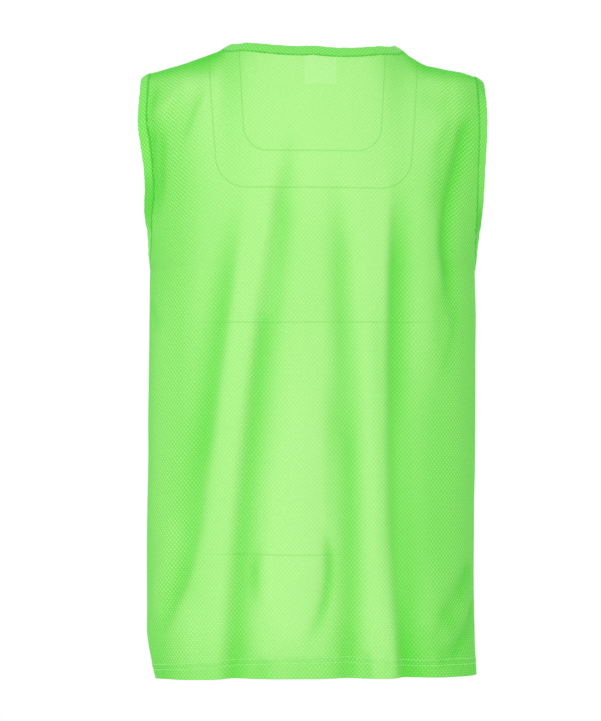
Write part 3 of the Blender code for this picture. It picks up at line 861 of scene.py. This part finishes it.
# The folded strips round the neck and the armholes
band = {
    "width": 0.0128, "neckOverlap": 0.0034, "armholeOverlap": 0.0014,
    "halfThickness": 0.00125,
    "stitchAt": 0.0027,  # from the strip's inner fold
    "stitchDepth": 0.0004, "neckTurn": math.radians(-14),
    "tipTurn": math.radians(-30), "tipLength": 0.05, "smoothing": 26,
    "alongSmoothing": 4, "ripple": 0.00022, "rippleWaves": (390, 243),
    "edgeSteps": 5,
    "flatPlaces": (0.0008, 0.0015, 0.0022, 0.0030, 0.0038),  # finer beside the stitches
    "plainFrom": 0.0055, "plainTo": 0.0014, "stitchReach": 0.0007,
    "thinnest": 0.00002, "neckColour": (0.318, 0.705, 0.203, 1),
    "armholeColour": (0.345, 0.755, 0.212, 1),
    "shadeColour": (0.110, 0.520, 0.060, 1), "gapTint": (0.45, 0.78, 0.38, 1),
    "dotSpacing": (0.0054, 0.0046), "dotSize": knit["dotSize"],
    "dotHeight": 0.00025, "yarnHeight": 0.0001, "bump": 0.5, "blotch": 0.5,
    "blotchNoise": {"Scale": 22.0, "Detail": 3.0},
    "roughness": (0.66, 0.1),
    "sheen": {"Sheen Weight": 0.08, "Sheen Roughness": 0.5},
    "through": 0.08,
    "grooveShade": (-0.0016, 0.0011, 0.9),  # painted shade beside the stitches: place, reach and amount
    "neckDim": (),  # deeper green where less light comes: drop, reach and amount
    "leftDim": ((0.040, 0.200, 0.24), (0.187, 0.036, 0.42)),
    "rightDim": ((0.046, 0.022, 0.60), (0.218, 0.026, 0.66)),
}


def bandFinish(name, mainColour):
    made, start = newFinish(name)
    dots, _, shadeAndBlotch, fine = clothMaps(start, band)
    # painted shade: the strip's green mixed to its shaded green by the painted shade
    colour = mixColour(shadeAndBlotch, mainColour, band["shadeColour"])
    colour = mixColour(1 - dots, colour, band["gapTint"], "MULTIPLY")
    height = dots * band["dotHeight"] + fine * band["yarnHeight"]
    clothFinish(start, band, colour, height, fine)
    return made


def bandProfile(overlap):  # distance from the seam and half thickness, round both folded edges
    start, end, half = -overlap, band["width"], band["halfThickness"]
    turns = 1 - np.cos(np.linspace(0, math.pi / 2, band["edgeSteps"]))
    near = start + half * turns
    far = end - half * turns[::-1]
    beside = start + half + np.array(band["flatPlaces"])
    plain = np.linspace(start + half + band["plainFrom"], end - half - band["plainTo"], 4)
    places = np.concatenate([near, beside, plain, far])
    fromEnd = np.minimum(places - start, end - places)
    rounding = np.clip(1 - fromEnd / half, 0, 1)
    thick = half * np.sqrt(1 - rounding**2)
    thick -= band["stitchDepth"] * bell(places - start - band["stitchAt"], band["stitchReach"])
    return places, np.maximum(thick, band["thinnest"])


def smoothLoop(vectors, times):
    for _ in range(times):
        vectors = unit(2 * vectors + np.roll(vectors, 1, axis=0) + np.roll(vectors, -1, axis=0))
    return vectors


def seamLoop(edge, inner):  # round a seam, from its edge of both nets and one further in
    def around(name, place):
        ahead, backwards = nets[backSide][name][place], nets[frontSide][name][place][-2:0:-1]
        return np.concatenate([ahead, backwards])

    points, normals = around("points", edge), smoothLoop(around("normals", edge), band["smoothing"])
    along = unit(np.roll(points, -1, axis=0) - np.roll(points, 1, axis=0))
    away = unit(np.cross(smoothLoop(along, band["alongSmoothing"]), normals))
    if ((points - around("points", inner)) * away).sum() < 0:
        away = -away
    return points, normals, away


def makeBand(name, node, loop, turns, overlap, finish, dim):
    points, normals, away = loop
    places, thick = bandProfile(overlap)
    steps = np.linalg.norm(np.roll(points, -1, axis=0) - points, axis=1)
    length = np.concatenate([[0], np.cumsum(steps)[:-1]])
    first, second = band["rippleWaves"]
    ripple = band["ripple"] * (np.sin(length * first) + 0.6 * np.sin(length * second + 1))
    rings, cloth, stitchLine = [], [], []
    for i in range(len(points)):
        angle = (turns[i] * np.clip(places, 0, None) / band["width"])[:, None]
        forward = np.cos(angle) * away[i] + np.sin(angle) * normals[i]
        across = np.cos(angle) * normals[i] - np.sin(angle) * away[i]
        ahead = np.cumsum(np.diff(places, prepend=places[0])[:, None] * forward, axis=0)
        centre = points[i] + away[i] * places[0] + ahead + normals[i] * ripple[i]
        outer, inner = centre + across * thick[:, None], centre - across * thick[:, None]
        rings.append(np.concatenate([outer, inner[::-1]]))
        u = np.full(len(places) * 2, length[i])
        cloth.append(np.stack([u, np.concatenate([places, -places[::-1]])], axis=-1))
        at = np.argmin(np.abs(places + overlap - band["stitchAt"]))
        stitchLine.append((outer[at], across[at]))
    stations, around = len(rings), len(places) * 2
    index = np.arange(stations * around).reshape(stations, around)
    beside, after = np.roll(index, -1, axis=1), np.roll(index, -1, axis=0)
    corner = np.roll(beside, -1, axis=0)
    faces = np.stack([index, beside, corner, after], axis=-1).reshape(-1, 4)
    fromStitch = np.concatenate([places, places[::-1]]) + overlap - band["stitchAt"]
    # painted shade in the groove beside the stitches
    middle, reach, amount = band["grooveShade"]
    shade = np.tile(amount * bell(fromStitch - middle, reach), stations)
    for drop, reach, amount in band[dim]:
        shade += amount * np.repeat(bell(-points[:, 2] - drop, reach), around)
    made = meshObject(name, np.concatenate(rings), faces, finish, np.concatenate(cloth), shade)
    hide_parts(node)
    line = np.array([p for p, _ in stitchLine]), np.array([n for _, n in stitchLine])
    return made, line, float(steps.sum())


columnsAll = nets[backSide]["points"].shape[1]
neckColumns = slice(shoulderColumns, columnsAll - shoulderColumns)
neckFinish = bandFinish("neckEdge", band["neckColour"])
armholeFinish = bandFinish("armholeEdge", band["armholeColour"])
neckLoop = seamLoop((0, neckColumns), (3, neckColumns))
neckTurns = np.full(len(neckLoop[0]), band["neckTurn"])
neckBand, neckStitchLine, neckLength = makeBand(
    "neckBand", "neck_binding", neckLoop, neckTurns, band["neckOverlap"], neckFinish, "neckDim")


def armholeBand(name, node, edge, inner, dim):
    rows = slice(0, upperRows + 1)
    loop = seamLoop((rows, edge), (rows, inner))
    top = cut["armholeTop"]
    turns = band["tipTurn"] * (1 - smoothStep(top, top + band["tipLength"], -loop[0][:, 2]))
    return makeBand(name, node, loop, turns, band["armholeOverlap"], armholeFinish, dim)


leftBand, leftStitchLine, leftLength = armholeBand(
    "leftArmholeBand", "armhole_binding_left", 0, 3, "leftDim")
rightBand, rightStitchLine, rightLength = armholeBand(
    "rightArmholeBand", "armhole_binding_right", -1, -4, "rightDim")
print("bands made: neck %.3f m, armholes %.3f and %.3f m" % (neckLength, leftLength, rightLength))


# Needlework: small raised beads of thread
thread = {
    "hemSpacing": 0.0032, "bandSpacing": 0.0030, "length": 0.0021,
    "width": 0.0010, "height": 0.0005, "aim": 0.0008,
    "rings": ((-0.75, 0.7), (0.0, 1.0), (0.75, 0.7)),  # along a bead, and how thick it is there
    "twist": {"Scale": 900.0, "Detail": 2.0},
    "bump": {"Strength": 0.4, "Distance": 0.0005},
    "roughness": (0.5, 0.1), "gloss": 0.35,
    "hemColours": ((0.580, 0.930, 0.520, 1), (0.440, 0.900, 0.280, 1)),
    # painted shade: the strips' stitches are painted the deeper green of the shaded groove they sit
    # in
    "shadedBandColours": ((0.160, 0.600, 0.095, 1), (0.240, 0.720, 0.150, 1)),
}


def threadFinish(name, colours):
    made, start = newFinish(name)
    twist = noise(start, **thread["twist"])
    sewnFinish(start, thread, mixColour(twist, *colours), twist)
    return made


def stitchRow(line, normals, spacing, closed):
    if closed:
        line = np.concatenate([line, line[:1]])
        normals = np.concatenate([normals, normals[:1]])
    steps = np.linalg.norm(np.diff(line, axis=0), axis=1)
    length = np.concatenate([[0], np.cumsum(steps)])
    count = int(length[-1] / spacing)
    middles = (np.arange(count) + 0.5) * length[-1] / count

    def sample(values, where):
        return np.stack([np.interp(where, length, values[:, k]) for k in range(3)], axis=1)

    centre = sample(line, middles)
    ahead, behind = sample(line, middles + thread["aim"]), sample(line, middles - thread["aim"])
    return centre, unit(ahead - behind), unit(sample(normals, middles))


def beadShape():  # one bead along x, with its top along z and its two tips last
    points, faces, last = [], [], len(thread["rings"]) * 6
    for along, size in thread["rings"]:
        for turn in np.arange(6) * math.pi / 3:
            points.append((along, math.cos(turn) * size, math.sin(turn) * size))
    for k in range(6):
        after = (k + 1) % 6
        for ring in range(0, last - 6, 6):
            faces.append((ring + k, ring + after, ring + 6 + after, ring + 6 + k))
        faces += [(last, after, k), (last + 1, last - 6 + k, last - 6 + after)]
    return np.array(points + [(-1, 0, 0), (1, 0, 0)], float), faces


def makeStitches(name, rows, finish):
    bead, beadFaces = beadShape()
    bead *= (thread["length"] / 2, thread["width"] / 2, thread["height"])
    points, faces = [], []
    for centre, ahead, up in rows:
        side = unit(np.cross(up, ahead))
        for c, a, s, n in zip(centre, ahead, side, up):
            start = len(points) * len(bead)
            points.append(c + bead[:, :1] * a + bead[:, 1:2] * s + bead[:, 2:] * n)
            faces += [tuple(i + start for i in face) for face in beadFaces]
    made = meshObject(name, np.concatenate(points), faces, finish)
    return made


def hemLines():
    rows = []
    for net in nets.values():
        for height in sewing["needleRows"]:
            row = panel["hemRows"].index(height) - len(panel["hemRows"])
            line, normals = net["surface"][row], net["normals"][row]
            rows.append(stitchRow(line, normals, thread["hemSpacing"], False))
    return rows


def bandStitches(name, line):
    return makeStitches(name, [stitchRow(*line, thread["bandSpacing"], True)], bandThread)


hemThread = threadFinish("hemThread", thread["hemColours"])
bandThread = threadFinish("bandThread", thread["shadedBandColours"])
hemStitches = makeStitches("hemStitches", hemLines(), hemThread)
neckStitches = bandStitches("neckStitches", neckStitchLine)
leftStitches = bandStitches("leftStitches", leftStitchLine)
rightStitches = bandStitches("rightStitches", rightStitchLine)
print("needlework made")


# The bare label inside the back of the neck
label = {
    "left": -0.0121, "right": 0.0240, "height": 0.040, "thickness": 0.0007,
    "away": 0.0012, "colour": (0.800, 0.930, 0.740, 1),
    "weaveColour": (0.72, 0.88, 0.66, 1), "weaveScale": 900.0,
    "softScale": 60.0, "weaveShare": 0.5, "softShare": 0.3,
    "bump": {"Strength": 0.3, "Distance": 0.0003},
    "roughness": (0.45, 0.1), "gloss": 0.35, "cells": (18, 18),
    "nearColumns": 20,  # of the back panel, on each side
}


def labelFinish():
    made, start = newFinish("wovenLabel")
    clothPlace = start.node("UVMap", {"uv_map": "clothPlace"})
    sockets = {"Vector": clothPlace, "Scale": label["weaveScale"]}
    weave = start.node("TexWave", {"bands_direction": "Y"}, sockets, 1)
    soft = noise(start, Scale=label["softScale"])
    share = weave * label["weaveShare"] + soft * label["softShare"]
    sewnFinish(start, label, mixColour(share, label["colour"], label["weaveColour"]), weave)
    return made


def makeLabel():
    net = nets[backSide]
    rows, columns = label["cells"]
    wantedDown = np.linspace(0.0, label["height"], rows + 1)
    wantedAcross = np.linspace(label["left"], label["right"], columns + 1)
    middle = net["points"].shape[1] // 2
    near = slice(middle - label["nearColumns"], middle + label["nearColumns"] + 1)

    def onto(wanted, places, values):
        return np.stack([np.interp(wanted, places, values[:, k]) for k in range(3)], axis=1)

    def spread(values):
        down = np.stack([
            onto(wantedDown, net["fromTop"][:, j], values[:, j])
            for j in range(near.start, near.stop)], axis=1)
        return np.stack([onto(wantedAcross, net["points"][0, near, 0], row) for row in down])

    points, normals = spread(net["points"]), unit(spread(net["normals"]))
    outer = points - normals * label["away"]
    inner = points - normals * (label["away"] + label["thickness"])
    place = np.stack(np.meshgrid(wantedAcross, wantedDown), axis=-1)
    made = clothShell("neckLabel", outer, inner, place, np.zeros(place.shape[:2]), labelFinish())
    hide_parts("neck_label")
    return made


neckLabel = makeLabel()
print("label made")


def flatArea(net):
    a = net["points"][:-1, :-1] - net["points"][1:, 1:]
    b = net["points"][1:, :-1] - net["points"][:-1, 1:]
    return float(np.linalg.norm(np.cross(a, b), axis=2).sum() / 2)


def declareSheets():
    for cloth, side, onIt in ((backCloth, backSide, [hemStitches]), (frontCloth, frontSide, [])):
        net = nets[side]
        width = float(np.ptp(net["across"], axis=1).max())
        length = float(net["fromTop"].max())
        min(flatArea(net), width * length)


declareSheets()

studio = {
    "lens": 110, "camera": (-0.015, -2.64, -0.376),
    "backdrop": 1.0, "ambient": 0.80, "aimAt": (0, 0, -0.36),
    "lights": {  # place, size and power
        "keyLight": ((-1.3, -2.7, 0.4), 1.8, 26),
        "fillLight": ((1.5, -2.6, -0.4), 2.0, 4),
        "rearLight": ((0.4, 2.4, 0.6), 2.0, 10),
    },
    "floorLevel": -1.35, "floorSize": 3.2,
    "floorColours": ((0.86, 0.86, 0.86, 1), (0.89, 0.89, 0.89, 1)),
    "floorGrain": 40.0, "floorRoughness": 0.9,
}


def makeStudio():
    scene = bpy.context.scene
    made, start = newFinish("paleFloor")
    grain = noise(start, Scale=studio["floorGrain"])
    colour = mixColour(grain, *studio["floorColours"])
    look = {"Base Color": colour, "Roughness": studio["floorRoughness"]}
    showFinish(start, start.node("BsdfPrincipled", {}, look))
    half = studio["floorSize"] / 2
    corners = [(-half, -half), (half, -half), (half, half), (-half, half)]
    plane = bpy.data.meshes.new("studioFloor")
    plane.from_pydata([(x, y, studio["floorLevel"]) for x, y in corners], [], [(0, 1, 2, 3)])
    plane.materials.append(made)
    floor = addObject("studioFloor", plane)

    world = bpy.data.worlds.new("studioWorld")
    world.use_nodes = True
    world.node_tree.nodes.clear()
    sky = Sock(world.node_tree)
    seen = sky.node("LightPath", {}, {}, 0)
    strength = studio["ambient"] + seen * (studio["backdrop"] - studio["ambient"])
    ground = sky.node("Background", {}, {"Color": (1, 1, 1, 1), "Strength": strength})
    showFinish(sky, ground, "World")
    scene.world = world

    for name, (place, size, power) in studio["lights"].items():
        data = bpy.data.lights.new(name, "AREA")
        data.shape, data.size, data.energy = "DISK", size, power
        lamp = addObject(name, data, place)
        aim = Vector(studio["aimAt"]) - Vector(place)
        lamp.rotation_euler = aim.to_track_quat("-Z", "Y").to_euler()

    data = bpy.data.cameras.new("photoCamera")
    data.lens = studio["lens"]
    camera = addObject("photoCamera", data, studio["camera"])
    camera.rotation_euler = (math.pi / 2, 0, 0)
    scene.camera = camera
    scene.view_settings.view_transform = "Standard"


makeStudio()
print("studio made")
